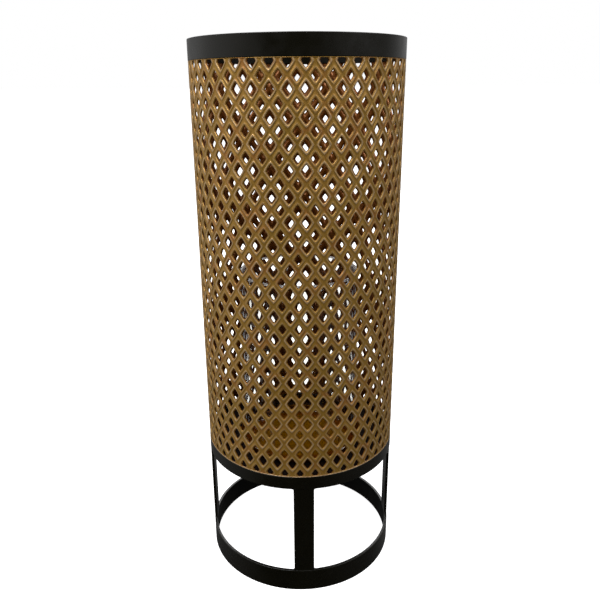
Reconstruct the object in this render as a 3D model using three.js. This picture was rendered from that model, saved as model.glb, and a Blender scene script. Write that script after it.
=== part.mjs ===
// A free-standing candle lantern: a punched sheet-metal cylinder held between two flat-strip
// bands, carried by four flat-strip legs on a flat-strip base ring. A steel floor closes the
// cage at the lower band, and a shallow dish on it locates a loose, open-ended glass chimney.
//
// Millimetres, +Z up. The origin is the centre of the base ring's underside. The front leg
// stands at -Y.

import * as THREE from 'three';

// ---- Driving dimensions --------------------------------------------------------------------

const OUTER_RADIUS = 76;            // of the bands, the base ring and the punched sleeve
const STRIP_THICKNESS = 2.3;        // flat bar of the bands, the base ring and the legs
const SLEEVE_THICKNESS = 1.6;       // punched sheet, over its raised lips

const BASE_RING_HEIGHT = 18.3;
const LOWER_BAND_BOTTOM = 93;
const LOWER_BAND_HEIGHT = 10.4;
const SLEEVE_HEIGHT = 290.6;
const TOP_BAND_HEIGHT = 13.8;

const LEG_WIDTH = 15.4;
const LEG_NAMES = ['leg_front', 'leg_right', 'leg_back', 'leg_left'];

const FLOOR_THICKNESS = 1.5;
const FLOOR_SETBACK = 3.3;          // floor's underside above the lower band's bottom edge
const FIT_GAP = 0.3;                // clearance between pieces that fit into each other

const DISH_THICKNESS = 1;           // pressed candle dish
const DISH_RADIUS = 50;
const DISH_RIM_HEIGHT = 5;

const GLASS_RADIUS = 46.5;
const GLASS_WALL = 2.8;
const GLASS_TOP = 242;

const TURN_STEPS = 72;              // facets round every turned piece
const RIM_STEPS = 4;                // facets over each rounded rim of the glass

// ---- Heights worked out from them ----------------------------------------------------------

const LOWER_BAND_TOP = LOWER_BAND_BOTTOM + LOWER_BAND_HEIGHT;
const SLEEVE_TOP = LOWER_BAND_TOP + SLEEVE_HEIGHT;
const FLOOR_BOTTOM = LOWER_BAND_BOTTOM + FLOOR_SETBACK;
const DISH_BOTTOM = FLOOR_BOTTOM + FLOOR_THICKNESS;
const GLASS_BOTTOM = DISH_BOTTOM + DISH_THICKNESS + FIT_GAP;

// ---- Materials -----------------------------------------------------------------------------

const blackPaint = new THREE.MeshStandardMaterial({ color: 0x100f0d, roughness: 0.42, metalness: 0.3 });
const antiqueGold = new THREE.MeshStandardMaterial({ color: 0x8a6c3a, roughness: 0.45, metalness: 0.7 });
const dishGold = new THREE.MeshStandardMaterial({ color: 0x6e4f28, roughness: 0.5, metalness: 0.6 });
const clearGlass = new THREE.MeshStandardMaterial({
  color: 0xe6efe9, roughness: 0.04, metalness: 0, transparent: true, opacity: 0.3,
});

// ---- Shapes --------------------------------------------------------------------------------

// Revolves a profile of [radius, height] points about +Z. The profile runs anticlockwise as
// seen with the radius to the right and the height upwards.
function turned(profile) {
  const points = profile.map(([radius, height]) => new THREE.Vector2(radius, height));
  return new THREE.LatheGeometry(points, TURN_STEPS).rotateX(Math.PI / 2);
}

// A plain ring of rectangular section, from one height to another.
function ring(outer, thickness, bottom, top) {
  const inner = outer - thickness;
  return turned([[outer, bottom], [outer, top], [inner, top], [inner, bottom], [outer, bottom]]);
}

// A flat disc, from one height to another.
function disc(radius, bottom, top) {
  return turned([[0, bottom], [radius, bottom], [radius, top], [0, top]]);
}

// A shallow pressed dish: a flat floor with an upright rim.
function dish(radius, thickness, bottom, rimHeight) {
  const corner = 2 * thickness;
  return turned([
    [0, bottom],
    [radius - corner, bottom],
    [radius, bottom + corner],
    [radius, bottom + rimHeight],
    [radius - thickness, bottom + rimHeight],
    [radius - thickness, bottom + corner + 0.4 * thickness],
    [radius - corner - 0.4 * thickness, bottom + thickness],
    [0, bottom + thickness],
  ]);
}

// An open-ended tube whose two rims are rounded over.
function roundedTube(outer, wall, bottom, top) {
  const half = wall / 2;
  const middle = outer - half;
  const profile = [];
  for (let step = 0; step <= RIM_STEPS; step += 1) {
    const angle = (Math.PI * step) / RIM_STEPS;
    profile.push([middle + half * Math.cos(angle), top - half + half * Math.sin(angle)]);
  }
  for (let step = 0; step <= RIM_STEPS; step += 1) {
    const angle = Math.PI + (Math.PI * step) / RIM_STEPS;
    profile.push([middle + half * Math.cos(angle), bottom + half + half * Math.sin(angle)]);
  }
  profile.push(profile[0]);
  return turned(profile);
}

// ---- Sub-parts -----------------------------------------------------------------------------

const lantern = new THREE.Group();

function add(name, geometry, material, parent = lantern) {
  const mesh = new THREE.Mesh(geometry, material);
  mesh.name = name;
  parent.add(mesh);
  return mesh;
}

function addBands() {
  add('base_ring', ring(OUTER_RADIUS, STRIP_THICKNESS, 0, BASE_RING_HEIGHT), blackPaint);
  add('lower_band', ring(OUTER_RADIUS, STRIP_THICKNESS, LOWER_BAND_BOTTOM, LOWER_BAND_TOP), blackPaint);
  add('top_band', ring(OUTER_RADIUS, STRIP_THICKNESS, SLEEVE_TOP, SLEEVE_TOP + TOP_BAND_HEIGHT), blackPaint);
}

// The punched sheet is held here as a plain rolled tube of its outer size.
function addSleeve() {
  add('mesh_sleeve', ring(OUTER_RADIUS, SLEEVE_THICKNESS, LOWER_BAND_TOP, SLEEVE_TOP), antiqueGold);
}

// Flat bars butted between the base ring and the lower band. Their corners are flush with the
// outside of the rings.
function addLegs() {
  const height = LOWER_BAND_BOTTOM - BASE_RING_HEIGHT;
  const faceRadius = Math.sqrt(OUTER_RADIUS ** 2 - (LEG_WIDTH / 2) ** 2);
  LEG_NAMES.forEach((name, index) => {
    const turn = new THREE.Group();
    turn.rotation.z = (index * Math.PI) / 2;
    lantern.add(turn);
    const leg = add(name, new THREE.BoxGeometry(LEG_WIDTH, STRIP_THICKNESS, height), blackPaint, turn);
    leg.position.set(0, -(faceRadius - STRIP_THICKNESS / 2), BASE_RING_HEIGHT + height / 2);
  });
}

function addFloor() {
  const radius = OUTER_RADIUS - STRIP_THICKNESS - FIT_GAP;
  add('floor_plate', disc(radius, FLOOR_BOTTOM, DISH_BOTTOM), blackPaint);
  add('candle_dish', dish(DISH_RADIUS, DISH_THICKNESS, DISH_BOTTOM, DISH_RIM_HEIGHT), dishGold);
}

function addGlass() {
  add('hurricane_glass', roundedTube(GLASS_RADIUS, GLASS_WALL, GLASS_BOTTOM, GLASS_TOP), clearGlass);
}

addBands();
addSleeve();
addLegs();
addFloor();
addGlass();

export default lantern;
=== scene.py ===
"""The looks of a punched-metal candle lantern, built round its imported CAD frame.

Metres, +Z up, with the front leg at -Y. Places and sizes come from the frame's own boxes; the
rest are the named dimensions below.
"""

import math

import bmesh
import bpy
import numpy as np
from mathutils import Matrix, Vector


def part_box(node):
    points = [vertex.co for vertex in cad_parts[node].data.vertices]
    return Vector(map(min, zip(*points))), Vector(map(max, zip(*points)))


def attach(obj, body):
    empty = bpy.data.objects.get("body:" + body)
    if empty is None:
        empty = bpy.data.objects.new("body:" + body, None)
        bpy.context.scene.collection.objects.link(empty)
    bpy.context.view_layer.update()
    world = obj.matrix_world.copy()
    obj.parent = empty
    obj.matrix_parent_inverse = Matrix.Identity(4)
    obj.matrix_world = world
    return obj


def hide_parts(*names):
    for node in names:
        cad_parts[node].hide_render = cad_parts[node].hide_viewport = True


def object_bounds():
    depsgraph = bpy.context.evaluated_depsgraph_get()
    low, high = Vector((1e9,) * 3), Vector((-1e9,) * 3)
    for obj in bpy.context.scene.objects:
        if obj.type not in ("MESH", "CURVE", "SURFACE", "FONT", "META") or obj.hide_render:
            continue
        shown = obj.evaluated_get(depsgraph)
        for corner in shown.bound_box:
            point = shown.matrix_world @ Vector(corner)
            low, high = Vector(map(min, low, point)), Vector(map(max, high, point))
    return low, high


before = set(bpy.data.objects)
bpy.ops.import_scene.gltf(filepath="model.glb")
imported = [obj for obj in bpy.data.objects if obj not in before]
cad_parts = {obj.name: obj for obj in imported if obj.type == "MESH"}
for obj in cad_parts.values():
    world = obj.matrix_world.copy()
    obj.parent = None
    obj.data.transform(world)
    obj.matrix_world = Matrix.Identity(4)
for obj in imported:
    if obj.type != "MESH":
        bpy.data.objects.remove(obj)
cad_low, cad_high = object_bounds()

MM = 0.001
TAU = 2 * math.pi
NEARLY_ZERO = 1e-9
NOISE_RANGE = (0.3, 0.7)             # where most of a noise's values lie

# ---- Dimensions ----------------------------------------------------------------------------

RADIUS = cad_high.x                  # outside of the bands and the sleeve
STRIP = 2.3 * MM                     # thickness of the flat bar
STRIP_BEVEL = 0.35 * MM
TURN_STEPS = 192                     # facets round the turned pieces
JOIN_REACH = 1e-7                    # points of a turned piece this close are joined, in metres

# The punched sheet: leaf-shaped holes on a diamond lattice, one hole to each rhombic cell.
COLUMNS = 42
CELL_HEIGHT = 16.33 * MM             # from one large hole to the next above it
TOP_ROW_DROP = 2.1 * MM              # of the highest large holes below the sheet's top edge
SMALL_DROP = 0.4 * MM                # of the small holes below the middle of their cells
SMALL_COLUMN_ANGLE = -0.0357         # of a column of small holes, from the front leg, in radians
HOLE_STEPS = 12                      # facets round a hole, a multiple of four
CELL_JOIN_REACH = 2e-6               # points of neighbouring cells this close are joined

# Depths below the outer radius, of the grooves between the lips and of the sheet's inside.
GROOVE_DEPTH = 0.60 * MM
INSIDE_DEPTH = 1.55 * MM

# The plain margins above and below the lattice. Their strips reach a little behind it.
TOP_MARGIN = 0.35 * MM
FOOT_MARGIN = 0.4 * MM
MARGIN_OVERLAP = 1.2                 # height of a margin's strip over the margin's own
MARGIN_OUTSIDE_DEPTH = 0.12 * MM
MARGIN_INSIDE_DEPTH = 1.5 * MM
MARGIN_BEVEL = 0.2 * MM

# The sheet was rolled a little unevenly, so its holes drift as they near the back.
BACK_DRIFT = 2.3 * MM                # along the sheet, away from the middle of the back
BACK_SHIFT = 0.35 * MM               # along the sheet, all one way
BACK_DROP = 0.25 * MM                # downwards
BACK_SLANT = 0.7 * MM                # further down on the left, and up on the right

# The outlines in each cell, from its lip's foot over the crest to the hole's edge and the
# bottom of the hole's wall: half width, half height, the power that bends the sides (2 is a
# straight rhombus, 1 an ellipse), the depth and the relief that the paint follows.
# High relief gets a painted highlight on each crest; relief below zero gets painted shade.
LARGE_OUTLINES = (
    (5.10 * MM, 7.00 * MM, 1.95, 0.53 * MM, 0.1),
    (4.60 * MM, 6.15 * MM, 1.75, 0.05 * MM, 1.0),
    (3.55 * MM, 4.90 * MM, 1.65, 0.50 * MM, 0.75),
    (2.75 * MM, 3.95 * MM, 1.70, 1.35 * MM, -1.0),
)
SMALL_OUTLINES = (
    (4.55 * MM, 6.25 * MM, 1.90, 0.53 * MM, 0.1),
    (4.00 * MM, 5.35 * MM, 1.80, 0.12 * MM, 0.8),
    (3.00 * MM, 4.10 * MM, 1.70, 0.50 * MM, 0.6),
    (2.25 * MM, 3.20 * MM, 1.70, 1.35 * MM, -1.0),
)

LEG_NAMES = ("leg_front", "leg_right", "leg_back", "leg_left")
LEG_WIDTH = 15.4 * MM
FILLET = 1.3 * MM                    # of the ground welds in the corners of the legs
ROUND_REACH = 4 * FILLET             # over which a leg's ends turn from the rings' curve to flat

FLOOR_EASE = 0.3 * MM                # chamfer round the floor plate
DISH_SHEET = 1 * MM
DISH_BEND = 2 * MM                   # outer radius of the bend under the dish's rim
DISH_STEPS = 6                       # facets over that bend, and over the rim
DISH_SHADE_RADII = (35 * MM, 39 * MM)    # radii between which the dish's paint turns to the brown of painted shade

GLASS_STEPS = 128
GLASS_WALL = 2.8 * MM
RIM_STEPS = 8                        # facets over each rounded rim of the glass

# The camera. Its distance from the axis and its height above the base are in outer radii, its
# angles in radians, and its lens and sensor in millimetres.
CAMERA_DISTANCE = 6.29
CAMERA_HEIGHT = 4.985
CAMERA_ANGLE = 0.031                 # it stands this far to the left of the front leg
CAMERA_PITCH = math.radians(18.81)
CAMERA_YAW = 0.0015
CAMERA_ROLL = math.radians(0.46)
CAMERA_LENS = 38.15
CAMERA_SENSOR = 36

FLOOR_REACH = 60                     # metres from the middle to each side

# How brightly the surroundings show in paint and metal, by where they are.
LEFT_GLOW = 0.72
RIGHT_GLOW = 0.24
BACK_GLOW = 0.42
TOP_GLOW = 0.6
LOW_SHARE = 0.16                     # of the sides' glow that is left far below
BOUNCED_GLOW = 0.85                  # from below, and only for light on its way to matt paint

# ---- Colours -------------------------------------------------------------------------------

# Linear red, green and blue. Where there are two, the paint wanders between them.
BLACK = ((0.0032, 0.0028, 0.0011), (0.0058, 0.0050, 0.0021))
# Darker black for the inside of the base ring: painted shade.
SHADED_BLACK_INSIDE_RING = ((0.0014, 0.0013, 0.0007), (0.0030, 0.0027, 0.0014))
# A brownish black for the floor plate.
BROWNISH_BLACK = ((0.005, 0.0018, 0.0006), (0.013, 0.0042, 0.0008))
GOLD = ((0.31, 0.172, 0.021), (0.365, 0.192, 0.030))
RUST = (0.35, 0.135, 0.024)
# Paler colour of each lip's crest: partly rubbed paint, partly a painted highlight.
RUBBED_CREST_AND_HIGHLIGHT = (0.60, 0.415, 0.23)
# Dark brown of the sheet's inside and of its hole walls: painted shade.
SLEEVE_INSIDE_SHADE = (0.19, 0.058, 0.003)
DISH_GOLD = ((0.21, 0.108, 0.005), (0.27, 0.138, 0.010))
DISH_RIM_SHADE = (0.17, 0.064, 0.003)
DISH_GLOSS = (0.45, 0.22, 0.03)
GLASS_TINT = (0.92, 0.92, 0.89)
CLOUDY_GLASS = ((0.78, 0.80, 0.79), (0.92, 0.94, 0.93))


# ---- Camera, light and floor ---------------------------------------------------------------


def add_camera():
    """A camera close in front, a little lower than the top band and tipped down."""
    data = bpy.data.cameras.new("camera")
    data.lens = CAMERA_LENS
    data.sensor_width = CAMERA_SENSOR
    data.clip_start = 0.01
    data.clip_end = 200
    camera = bpy.data.objects.new("camera", data)
    bpy.context.scene.collection.objects.link(camera)
    bpy.context.scene.camera = camera
    angle = CAMERA_ANGLE
    camera.location = (
        -CAMERA_DISTANCE * RADIUS * math.sin(angle),
        -CAMERA_DISTANCE * RADIUS * math.cos(angle),
        CAMERA_HEIGHT * RADIUS,
    )
    turn = Matrix.Rotation(-angle - CAMERA_YAW, 3, "Z")
    tilt = Matrix.Rotation(math.pi / 2 - CAMERA_PITCH, 3, "X")
    roll = Matrix.Rotation(-CAMERA_ROLL, 3, "Z")
    camera.rotation_euler = (turn @ tilt @ roll).to_euler()


def add_area_light(name, place, size, power):
    """A white square softbox that faces the middle of the lantern."""
    data = bpy.data.lights.new(name, "AREA")
    data.size = size
    data.energy = power
    light = bpy.data.objects.new(name, data)
    bpy.context.scene.collection.objects.link(light)
    light.location = place
    middle = Vector((0, 0, cad_high.z / 2))
    light.rotation_euler = (middle - Vector(place)).to_track_quat("-Z", "Y").to_euler()


def add_floor():
    """A floor that glows white, to stay pale under the lantern. Nothing on it mirrors it."""
    corners = [(-FLOOR_REACH, -FLOOR_REACH, 0), (FLOOR_REACH, -FLOOR_REACH, 0)]
    corners += [(FLOOR_REACH, FLOOR_REACH, 0), (-FLOOR_REACH, FLOOR_REACH, 0)]
    mesh = new_mesh("floor", corners, [(0, 1, 2, 3)])
    floor = bpy.data.objects.new("floor", mesh)
    bpy.context.scene.collection.objects.link(floor)
    floor.location.z = cad_low.z
    floor.visible_glossy = False
    floor.visible_diffuse = False
    material, _, shader = new_material("floor")
    shader.inputs["Base Color"].default_value = (0.8, 0.8, 0.8, 1)
    shader.inputs["Roughness"].default_value = 0.9
    shader.inputs["Specular IOR Level"].default_value = 0
    shader.inputs["Emission Color"].default_value = (1, 1, 1, 1)
    shader.inputs["Emission Strength"].default_value = 0.95
    mesh.materials.append(material)


def surroundings_glow(tree, path):
    """How bright the surroundings are to paint: dark in front, and brightest on the left.

    Matt paint also catches light from below, as if off a pale table. Each part of a direction
    runs from -1 to 1.
    """
    coordinates = tree.nodes.new("ShaderNodeTexCoord")
    split = tree.nodes.new("ShaderNodeSeparateXYZ")
    tree.links.new(coordinates.outputs["Generated"], split.inputs[0])
    left = remap(tree, split.outputs["X"], -0.55, -1.0, 0.0, LEFT_GLOW)
    right = remap(tree, split.outputs["X"], 0.2, 0.8, 0.0, RIGHT_GLOW)
    behind = remap(tree, split.outputs["Y"], 0.1, 1.0, 0.0, BACK_GLOW)
    sides = calculate(tree, "ADD", calculate(tree, "ADD", left, right), behind)
    below = remap(tree, split.outputs["Z"], -0.75, 0.05, LOW_SHARE, 1.0)
    above = remap(tree, split.outputs["Z"], 0.15, 0.8, 0.0, TOP_GLOW)
    mirrored = calculate(tree, "MULTIPLY_ADD", sides, below, above)
    bounced = remap(tree, split.outputs["Z"], -0.2, 0.0, BOUNCED_GLOW, 0.0)
    return calculate(tree, "MULTIPLY_ADD", path.outputs["Is Diffuse Ray"], bounced, mirrored)


def add_world():
    """White to the eye and through the glass, and uneven in reflections."""
    world = bpy.data.worlds.new("studio")
    bpy.context.scene.world = world
    world.use_nodes = True
    tree = world.node_tree
    tree.nodes.clear()
    link = tree.links.new
    output = tree.nodes.new("ShaderNodeOutputWorld")
    seen = tree.nodes.new("ShaderNodeBackground")
    seen.inputs["Color"].default_value = (1, 1, 1, 1)
    lit = tree.nodes.new("ShaderNodeBackground")
    path = tree.nodes.new("ShaderNodeLightPath")
    link(surroundings_glow(tree, path), lit.inputs["Strength"])
    in_sight = (path.outputs["Is Camera Ray"], path.outputs["Is Transmission Ray"])
    mix = tree.nodes.new("ShaderNodeMixShader")
    link(calculate(tree, "MAXIMUM", *in_sight), mix.inputs["Fac"])
    link(lit.outputs[0], mix.inputs[1])
    link(seen.outputs[0], mix.inputs[2])
    link(mix.outputs[0], output.inputs["Surface"])


def set_studio():
    """Camera, lights, floor and a plain tone curve."""
    add_camera()
    add_world()
    add_floor()
    add_area_light("key", (-0.7, -0.9, 1.5), size=0.9, power=19)
    add_area_light("fill", (1.0, -0.5, 1.1), size=1.0, power=5.5)
    add_area_light("back", (0.0, 1.3, 1.2), size=1.2, power=10)
    bpy.context.scene.view_settings.view_transform = "Standard"
    bpy.context.scene.view_settings.look = "None"


# ---- Material helpers ----------------------------------------------------------------------


def new_material(name):
    """A material with one Principled shader; gives back the material, its tree and shader."""
    material = bpy.data.materials.new(name)
    material.use_nodes = True
    tree = material.node_tree
    return material, tree, tree.nodes["Principled BSDF"]


def noise(tree, scale, detail=3):
    """Noise in the object's own metres; gives its 0 to 1 output."""
    coordinates = tree.nodes.new("ShaderNodeTexCoord")
    texture = tree.nodes.new("ShaderNodeTexNoise")
    texture.inputs["Scale"].default_value = scale
    texture.inputs["Detail"].default_value = detail
    tree.links.new(coordinates.outputs["Object"], texture.inputs["Vector"])
    return texture.outputs["Fac"]


def remap(tree, value, low, high, to_low, to_high):
    """A value between low and high carried to between to_low and to_high, and held there."""
    node = tree.nodes.new("ShaderNodeMapRange")
    node.inputs["From Min"].default_value = low
    node.inputs["From Max"].default_value = high
    node.inputs["To Min"].default_value = to_low
    node.inputs["To Max"].default_value = to_high
    tree.links.new(value, node.inputs["Value"])
    return node.outputs["Result"]


def calculate(tree, operation, *values):
    """A Math node over other nodes' outputs."""
    node = tree.nodes.new("ShaderNodeMath")
    node.operation = operation
    for socket, value in zip(node.inputs, values):
        tree.links.new(value, socket)
    return node.outputs[0]


def blend_colours(tree, factor, first, second):
    """Mixes two colours; each is a tuple or another node's output."""
    node = tree.nodes.new("ShaderNodeMix")
    node.data_type = "RGBA"
    tree.links.new(factor, node.inputs["Factor"])
    colour_sockets = [socket for socket in node.inputs if socket.type == "RGBA"]
    for socket, colour in zip(colour_sockets, (first, second)):
        if isinstance(colour, tuple):
            socket.default_value = (*colour, 1)
        else:
            tree.links.new(colour, socket)
    return next(socket for socket in node.outputs if socket.type == "RGBA")


def vary_roughness(tree, shader, scale, low, high):
    """Lets the roughness wander between two values."""
    rough = remap(tree, noise(tree, scale), *NOISE_RANGE, low, high)
    tree.links.new(rough, shader.inputs["Roughness"])


def add_bump(tree, shader, height, distance, strength):
    """Bump from a 0 to 1 height that stands for this distance, in metres."""
    node = tree.nodes.new("ShaderNodeBump")
    node.inputs["Distance"].default_value = distance
    node.inputs["Strength"].default_value = strength
    tree.links.new(height, node.inputs["Height"])
    tree.links.new(node.outputs["Normal"], shader.inputs["Normal"])


def attribute(tree, name):
    """A number that the mesh carries at each point."""
    node = tree.nodes.new("ShaderNodeAttribute")
    node.attribute_name = name
    return node.outputs["Fac"]


# ---- Materials -----------------------------------------------------------------------------


def black_paint():
    """Satin black powder coat: faint orange peel and a slightly uneven sheen."""
    material, tree, shader = new_material("black_paint")
    colour = blend_colours(tree, noise(tree, 45), *BLACK)
    tree.links.new(colour, shader.inputs["Base Color"])
    vary_roughness(tree, shader, 120, 0.22, 0.32)
    shader.inputs["Specular IOR Level"].default_value = 0.42
    add_bump(tree, shader, noise(tree, 1100, detail=2), 0.03 * MM, 0.12)
    return material


def dull_black(name, colours):
    """The same black, rougher: on the floor plate, and darker as painted shade inside the base
    ring.
    """
    material, tree, shader = new_material(name)
    colour = blend_colours(tree, noise(tree, 60, detail=4), *colours)
    tree.links.new(colour, shader.inputs["Base Color"])
    vary_roughness(tree, shader, 150, 0.55, 0.7)
    shader.inputs["Specular IOR Level"].default_value = 0.12
    add_bump(tree, shader, noise(tree, 900), 0.04 * MM, 0.3)
    return material


def gold_paint():
    """Antique gold over the punched sheet: rubbed lips with a painted highlight, rusty patches, and
    a brown inside that is painted shade.
    """
    material, tree, shader = new_material("antique_gold")
    relief = attribute(tree, "relief")
    patches = remap(tree, noise(tree, 30, detail=4), 0.35, 0.65, 0, 1)
    base = blend_colours(tree, patches, *GOLD)
    rust = remap(tree, noise(tree, 95, detail=2), 0.54, 0.68, 0, 0.7)
    base = blend_colours(tree, rust, base, RUST)
    # Each crest turns paler: partly rubbed paint, partly a painted highlight.
    crest_wear_and_highlight = remap(tree, relief, 0.6, 0.95, 0, 0.8)
    base = blend_colours(tree, crest_wear_and_highlight, base, RUBBED_CREST_AND_HIGHLIGHT)
    # The inside and the lower hole walls turn dark brown: painted shade.
    inside = remap(tree, relief, -0.5, -0.02, 1, 0)
    base = blend_colours(tree, inside, base, SLEEVE_INSIDE_SHADE)
    tree.links.new(base, shader.inputs["Base Color"])
    shader.inputs["Metallic"].default_value = 0.55
    shader.inputs["Specular IOR Level"].default_value = 0.5
    shader.inputs["Coat Weight"].default_value = 0.25
    shader.inputs["Coat Roughness"].default_value = 0.35
    vary_roughness(tree, shader, 90, 0.34, 0.48)
    add_bump(tree, shader, noise(tree, 700), 0.08 * MM, 0.5)
    return material


def dish_gold():
    """The same gold, duller, on the candle dish, and browner towards its rim: painted shade."""
    material, tree, shader = new_material("dish_gold")
    base = blend_colours(tree, noise(tree, 40, detail=4), *DISH_GOLD)
    # Browner outside the dish's middle: painted shade of its rim.
    outer = remap(tree, attribute(tree, "from_middle"), *DISH_SHADE_RADII, 0, 1)
    base = blend_colours(tree, outer, base, DISH_RIM_SHADE)
    tree.links.new(base, shader.inputs["Base Color"])
    shader.inputs["Metallic"].default_value = 1
    shader.inputs["Specular Tint"].default_value = (*DISH_GLOSS, 1)
    vary_roughness(tree, shader, 110, 0.42, 0.55)
    add_bump(tree, shader, noise(tree, 900), 0.05 * MM, 0.4)
    return material


def clear_glass():
    """Clear glass with a faint warm tint."""
    material, tree, shader = new_material("clear_glass")
    shader.inputs["Base Color"].default_value = (*GLASS_TINT, 1)
    shader.inputs["Roughness"].default_value = 0.02
    shader.inputs["IOR"].default_value = 1.5
    shader.inputs["Transmission Weight"].default_value = 1
    return material


def glass_rim():
    """The glass of its melted upper rim, cloudy enough to catch the light."""
    material, tree, shader = new_material("glass_rim")
    cloud = blend_colours(tree, noise(tree, 300), *CLOUDY_GLASS)
    tree.links.new(cloud, shader.inputs["Base Color"])
    shader.inputs["Roughness"].default_value = 0.25
    shader.inputs["IOR"].default_value = 1.5
    shader.inputs["Transmission Weight"].default_value = 0.3
    return material


# ---- Mesh helpers --------------------------------------------------------------------------


def new_mesh(name, vertices, faces):
    """A mesh of these points and faces."""
    mesh = bpy.data.meshes.new(name)
    mesh.from_pydata(vertices, [], faces)
    return mesh


def new_piece(name, mesh, material, body="frame"):
    """A smooth-shaded piece that rides on a CAD body."""
    mesh.materials.append(material)
    mesh.shade_smooth()
    piece = bpy.data.objects.new(name, mesh)
    bpy.context.scene.collection.objects.link(piece)
    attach(piece, body)
    return piece


def join_points(mesh):
    """Joins points that lie on each other and drops faces that have shrunk to nothing."""
    shape = bmesh.new()
    shape.from_mesh(mesh)
    bmesh.ops.remove_doubles(shape, verts=shape.verts, dist=JOIN_REACH)
    shape.to_mesh(mesh)
    shape.free()


def store(mesh, name, values):
    """Keeps a number at each point, for the paint. Relief is 1 on a crest and -1 inside."""
    mesh.attributes.new(name, "FLOAT", "POINT").data.foreach_set("value", values)


def repaint(piece, material, is_chosen):
    """Gives a second material to the faces whose centres are chosen."""
    piece.data.materials.append(material)
    for face in piece.data.polygons:
        if is_chosen(face.center):
            face.material_index = 1


def wall(count, here, there):
    """Quads between two loops of count points, which start at the points here and there."""
    faces = []
    for point in range(count):
        after = (point + 1) % count
        faces.append((here + point, there + point, there + after, here + after))
    return faces


def turned(name, profile, material, body="frame", steps=TURN_STEPS):
    """Revolves a closed (radius, height) profile, anticlockwise with the radius to the right."""
    count = len(profile)
    vertices = []
    for turn in range(steps):
        angle = TAU * turn / steps
        for radius, height in profile:
            vertices.append((radius * math.cos(angle), radius * math.sin(angle), height))
    faces = []
    for turn in range(steps):
        faces += wall(count, turn * count, ((turn + 1) % steps) * count)
    mesh = new_mesh(name, vertices, faces)
    piece = new_piece(name, mesh, material, body)
    join_points(mesh)
    return piece


def arc(centre, radius, start, stop, steps):
    """Points on an arc from start to stop, in degrees."""
    points = []
    for step in range(steps + 1):
        angle = math.radians(start + (stop - start) * step / steps)
        points.append((centre[0] + radius * math.cos(angle), centre[1] + radius * math.sin(angle)))
    return points


def rounded_section(inner, outer, bottom, top, bevel, steps=3):
    """A rectangle with rounded corners, and points on its flats that keep their shading flat."""
    hold_across = min(0.8 * bevel, 0.4 * (outer - inner - 2 * bevel))
    hold_up = min(0.8 * bevel, 0.4 * (top - bottom - 2 * bevel))
    points = []
    corners = (
        (outer - bevel, bottom + bevel, -90),
        (outer - bevel, top - bevel, 0),
        (inner + bevel, top - bevel, 90),
        (inner + bevel, bottom + bevel, 180),
    )
    for across, up, start in corners:
        begin = math.radians(start)
        end = math.radians(start + 90)
        curve = arc((across, up), bevel, start, start + 90, steps)
        lead_in = (
            curve[0][0] + hold_across * math.sin(begin),
            curve[0][1] - hold_up * math.cos(begin),
        )
        lead_out = (
            curve[-1][0] - hold_across * math.sin(end),
            curve[-1][1] + hold_up * math.cos(end),
        )
        points += [lead_in, *curve, lead_out]
    return points


# ---- Bands, base ring and legs -------------------------------------------------------------


def add_ring(node, material, inside_shade_paint=None):
    """A flat strip rolled on edge with eased corners. Its inside may have a darker, rougher paint:
    painted shade.
    """
    low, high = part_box(node)
    section = rounded_section(high.x - STRIP, high.x, low.z, high.z, STRIP_BEVEL)
    piece = turned(node + "_strip", section, material)
    if inside_shade_paint:
        inside = high.x - STRIP * 0.9
        repaint(piece, inside_shade_paint, lambda centre: centre.xy.length < inside)
    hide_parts(node)


def leg_levels(height):
    """Heights up a leg, closest together in the welds at its two ends."""
    near = [FILLET * (1 - math.cos(math.radians(angle))) for angle in range(0, 91, 18)]
    near += [2 * FILLET, ROUND_REACH]
    return near + [height / 2] + [height - level for level in reversed(near)]


def leg_section(gap):
    """A leg's outline as (across, out) points, at this distance from the nearer of its ends.

    The welds widen it there, and its face turns from the rings' curve to flat.
    """
    reach = max(FILLET - gap, 0)
    flare = FILLET - math.sqrt(FILLET**2 - reach**2)
    half_width = LEG_WIDTH / 2 + flare
    roundness = max(1 - gap / ROUND_REACH, 0) ** 2
    flat_face = math.sqrt(RADIUS**2 - (LEG_WIDTH / 2) ** 2)
    section = []
    for across, out in rounded_section(-half_width, half_width, -STRIP, 0, STRIP_BEVEL, steps=2):
        curved_face = math.sqrt(RADIUS**2 - across**2)
        face = flat_face + (curved_face - flat_face) * roundness
        section.append((across, out + face))
    return section


def add_leg(node, index, material):
    """A flat bar between the base ring and the lower band, with ground welds in its corners."""
    low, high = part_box(node)
    height = high.z - low.z
    levels = leg_levels(height)
    vertices = []
    for level in levels:
        section = leg_section(min(level, height - level))
        vertices += [(across, -out, low.z + level) for across, out in section]
    count = len(vertices) // len(levels)
    faces = []
    for level in range(len(levels) - 1):
        faces += wall(count, level * count, (level + 1) * count)
    faces.append(tuple(range(count)))
    faces.append(tuple(reversed(range(len(vertices) - count, len(vertices)))))
    mesh = new_mesh(node + "_bar", vertices, faces)
    mesh.transform(Matrix.Rotation(index * math.pi / 2, 4, "Z"))
    piece = new_piece(node + "_bar", mesh, material)
    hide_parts(node)


# ---- The punched sleeve --------------------------------------------------------------------


def outline(half_width, half_height, power):
    """Points round a leaf shape, from its right corner anticlockwise."""
    angles = np.arange(HOLE_STEPS) * TAU / HOLE_STEPS
    cosines = np.cos(angles)
    sines = np.sin(angles)
    cosines[np.abs(cosines) < NEARLY_ZERO] = 0
    sines[np.abs(sines) < NEARLY_ZERO] = 0
    across = np.sign(cosines) * np.abs(cosines) ** power * half_width
    up = np.sign(sines) * np.abs(sines) ** power * half_height
    return across, up


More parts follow.
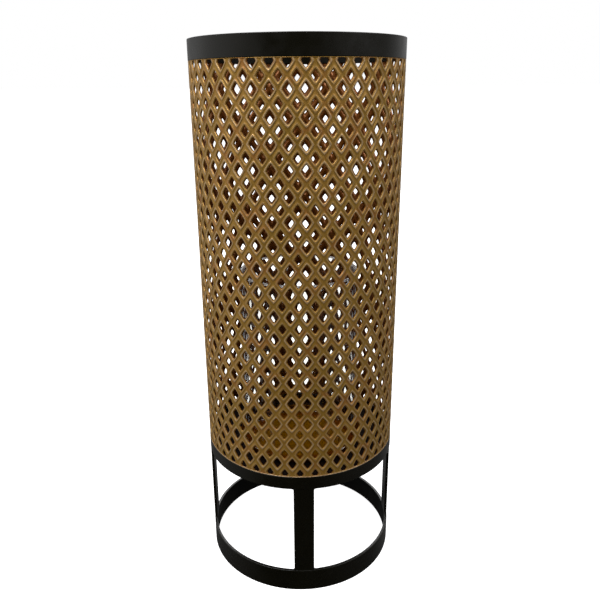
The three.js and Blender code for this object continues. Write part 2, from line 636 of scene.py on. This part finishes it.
def cell(outlines, drop):
    """One cell's (across, up, depth, relief) points and its faces; its hole sits lower by drop."""
    rhombus = (math.pi * RADIUS / COLUMNS, CELL_HEIGHT / 2, 2)
    levels = [(*rhombus, GROOVE_DEPTH, 0, 0)]
    levels += [(*level, drop) for level in outlines]
    levels += [(*rhombus, INSIDE_DEPTH, -1, 0)]
    points = []
    for half_width, half_height, power, depth, relief, lowered in levels:
        across, up = outline(half_width, half_height, power)
        depths = np.full_like(across, depth)
        reliefs = np.full_like(across, relief)
        points.append(np.stack([across, up - lowered, depths, reliefs], axis=1))
    here = np.arange(HOLE_STEPS)
    after = (here + 1) % HOLE_STEPS
    quads = np.stack([here, after, after + HOLE_STEPS, here + HOLE_STEPS], axis=1)
    faces = [quads + level * HOLE_STEPS for level in range(len(outlines) + 1)]
    return np.concatenate(points), np.concatenate(faces)


def lay_cells(outlines, drop, angles, heights):
    """Copies one cell to every angle and height: (angle, height, depth, relief) and faces."""
    points, faces = cell(outlines, drop)
    all_points = []
    all_faces = []
    for height in heights:
        for angle in angles:
            placed = points.copy()
            placed[:, 0] = angle + points[:, 0] / RADIUS
            placed[:, 1] += height
            all_faces.append(faces + len(points) * len(all_points))
            all_points.append(placed)
    return np.concatenate(all_points), np.concatenate(all_faces)


def let_drift(points):
    """Moves (angle, height, depth, relief) points by the sheet's drift towards the back."""
    angle = points[:, 0].copy()
    share = (1 - np.cos(angle)) / 2
    points[:, 0] += share * (BACK_DRIFT * np.sin(2 * angle) + BACK_SHIFT) / RADIUS
    points[:, 1] -= share * (BACK_DROP - BACK_SLANT * np.sin(angle))
    return points


def roll_up(points):
    """Bends (angle from the front, height, depth) points round the axis."""
    radius = RADIUS - points[:, 2]
    return np.stack(
        [radius * np.sin(points[:, 0]), -radius * np.cos(points[:, 0]), points[:, 1]], axis=1
    )


def row_heights(highest, low, high):
    """Heights of one kind of row, from the highest down, whose cells reach between low and high."""
    reach = CELL_HEIGHT / 2
    count = math.ceil((highest - low + reach) / CELL_HEIGHT)
    heights = highest - CELL_HEIGHT * np.arange(count)
    return [height for height in heights if height - reach < high]


def trim(shape, level, side):
    """Cuts a mesh straight at a level and drops what lies beyond it: above for 1, below for -1."""
    near = [face for face in shape.faces if abs(face.calc_center_median().z - level) < CELL_HEIGHT]
    edges = dict.fromkeys(edge for face in near for edge in face.edges)
    verts = dict.fromkeys(vert for face in near for vert in face.verts)
    bmesh.ops.bisect_plane(
        shape,
        geom=[*near, *edges, *verts],
        plane_co=(0, 0, level),
        plane_no=(0, 0, side),
        clear_outer=True,
    )


def lattice(low, high, top):
    """Points and faces of every cell between two heights, in rows measured from the sheet's top."""
    pitch = TAU / COLUMNS
    small_angles = SMALL_COLUMN_ANGLE + pitch * np.arange(COLUMNS)
    large_angles = small_angles + pitch / 2
    large_rows = row_heights(top - TOP_ROW_DROP, low, high)
    small_rows = row_heights(top - TOP_ROW_DROP + CELL_HEIGHT / 2, low, high)
    large = lay_cells(LARGE_OUTLINES, 0, large_angles, large_rows)
    small = lay_cells(SMALL_OUTLINES, SMALL_DROP, small_angles, small_rows)
    points = np.concatenate([large[0], small[0]])
    faces = np.concatenate([large[1], small[1] + len(large[0])])
    return let_drift(points), faces


def lattice_mesh(low, high, top):
    """The lattice as one mesh, rolled up and cut off straight at both heights."""
    points, faces = lattice(low, high, top)
    mesh = new_mesh("lattice", roll_up(points).tolist(), faces.tolist())
    store(mesh, "relief", points[:, 3])
    shape = bmesh.new()
    shape.from_mesh(mesh)
    bmesh.ops.remove_doubles(shape, verts=shape.verts, dist=CELL_JOIN_REACH)
    trim(shape, low, -1)
    trim(shape, high, 1)
    shape.to_mesh(mesh)
    shape.free()
    return mesh


def add_margin(name, bottom, top, relief, material):
    """A plain strip along one edge of the sheet, painted like this relief on the outside, and with
    the inside's painted shade within.
    """
    outer = RADIUS - MARGIN_OUTSIDE_DEPTH
    inner = RADIUS - MARGIN_INSIDE_DEPTH
    section = rounded_section(inner, outer, bottom, top, MARGIN_BEVEL, steps=2)
    piece = turned(name, section, material)
    radii = [vertex.co.xy.length for vertex in piece.data.vertices]
    reliefs = [-1.0 if radius < RADIUS - GROOVE_DEPTH else relief for radius in radii]
    store(piece.data, "relief", reliefs)


def add_sleeve(material):
    """The punched sheet cylinder and the plain margins along its two edges."""
    low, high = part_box("mesh_sleeve")
    mesh = lattice_mesh(low.z + FOOT_MARGIN, high.z - TOP_MARGIN, high.z)
    piece = new_piece("punched_sleeve", mesh, material)
    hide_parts("mesh_sleeve")
    foot_height = FOOT_MARGIN * MARGIN_OVERLAP
    top_height = TOP_MARGIN * MARGIN_OVERLAP
    # The low edge takes the paler crest colour: a painted highlight along it.
    add_margin("sleeve_edge_low", low.z, low.z + foot_height, 1.0, material)
    add_margin("sleeve_edge_high", high.z - top_height, high.z, 0.2, material)


# ---- Floor, dish and glass -----------------------------------------------------------------


def add_floor_plate(material):
    """The steel floor, up against the inside of the lower band."""
    low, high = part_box("floor_plate")
    reach = RADIUS - STRIP
    profile = [(0, low.z), (reach - FLOOR_EASE, low.z), (reach, low.z + FLOOR_EASE)]
    profile += [(reach, high.z - FLOOR_EASE), (reach - FLOOR_EASE, high.z), (0, high.z)]
    piece = turned("floor_disc", profile, material)
    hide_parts("floor_plate")


def add_candle_dish(material):
    """The pressed dish that locates the glass, with a bent-up side and a rounded rim."""
    low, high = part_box("candle_dish")
    middle = (high.x - DISH_BEND, low.z + DISH_BEND)
    half = DISH_SHEET / 2
    flat_reach = high.x - DISH_BEND - DISH_SHEET
    outside = [(0, low.z), (flat_reach, low.z)]
    outside += arc(middle, DISH_BEND, -90, 0, DISH_STEPS)
    rim = arc((high.x - half, high.z - half), half, 0, 180, DISH_STEPS)
    inside = arc(middle, DISH_BEND - DISH_SHEET, 0, -90, DISH_STEPS)
    inside += [(flat_reach, low.z + DISH_SHEET), (0, low.z + DISH_SHEET)]
    piece = turned("candle_dish_pressed", outside + rim + inside, material)
    store(piece.data, "from_middle", [vertex.co.xy.length for vertex in piece.data.vertices])
    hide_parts("candle_dish")


def add_glass(wall_material, rim_material):
    """The open-ended chimney with fire-polished rims, of which the upper one is cloudy."""
    low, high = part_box("hurricane_glass")
    half = GLASS_WALL / 2
    middle = high.x - half
    profile = arc((middle, high.z - half), half, 0, 180, RIM_STEPS)
    profile += arc((middle, low.z + half), half, 180, 360, RIM_STEPS)
    piece = turned("glass_chimney", profile, wall_material, body="glass", steps=GLASS_STEPS)
    repaint(piece, rim_material, lambda centre: centre.z > high.z - half)
    # Light reaches the dish and the sheet straight through it.
    piece.visible_shadow = False
    piece.visible_diffuse = False
    piece.visible_glossy = False
    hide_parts("hurricane_glass")


# ---- Build ---------------------------------------------------------------------------------

set_studio()
black = black_paint()
gold = gold_paint()
# The inside of the base ring is painted darker and with less sheen: painted shade.
add_ring("base_ring", black, dull_black("ring_inside_painted_shade", SHADED_BLACK_INSIDE_RING))
add_ring("lower_band", black)
add_ring("top_band", black)
for leg_index, leg_node in enumerate(LEG_NAMES):
    add_leg(leg_node, leg_index, black)
add_sleeve(gold)
add_floor_plate(dull_black("brownish_black", BROWNISH_BLACK))
add_candle_dish(dish_gold())
add_glass(clear_glass(), glass_rim())
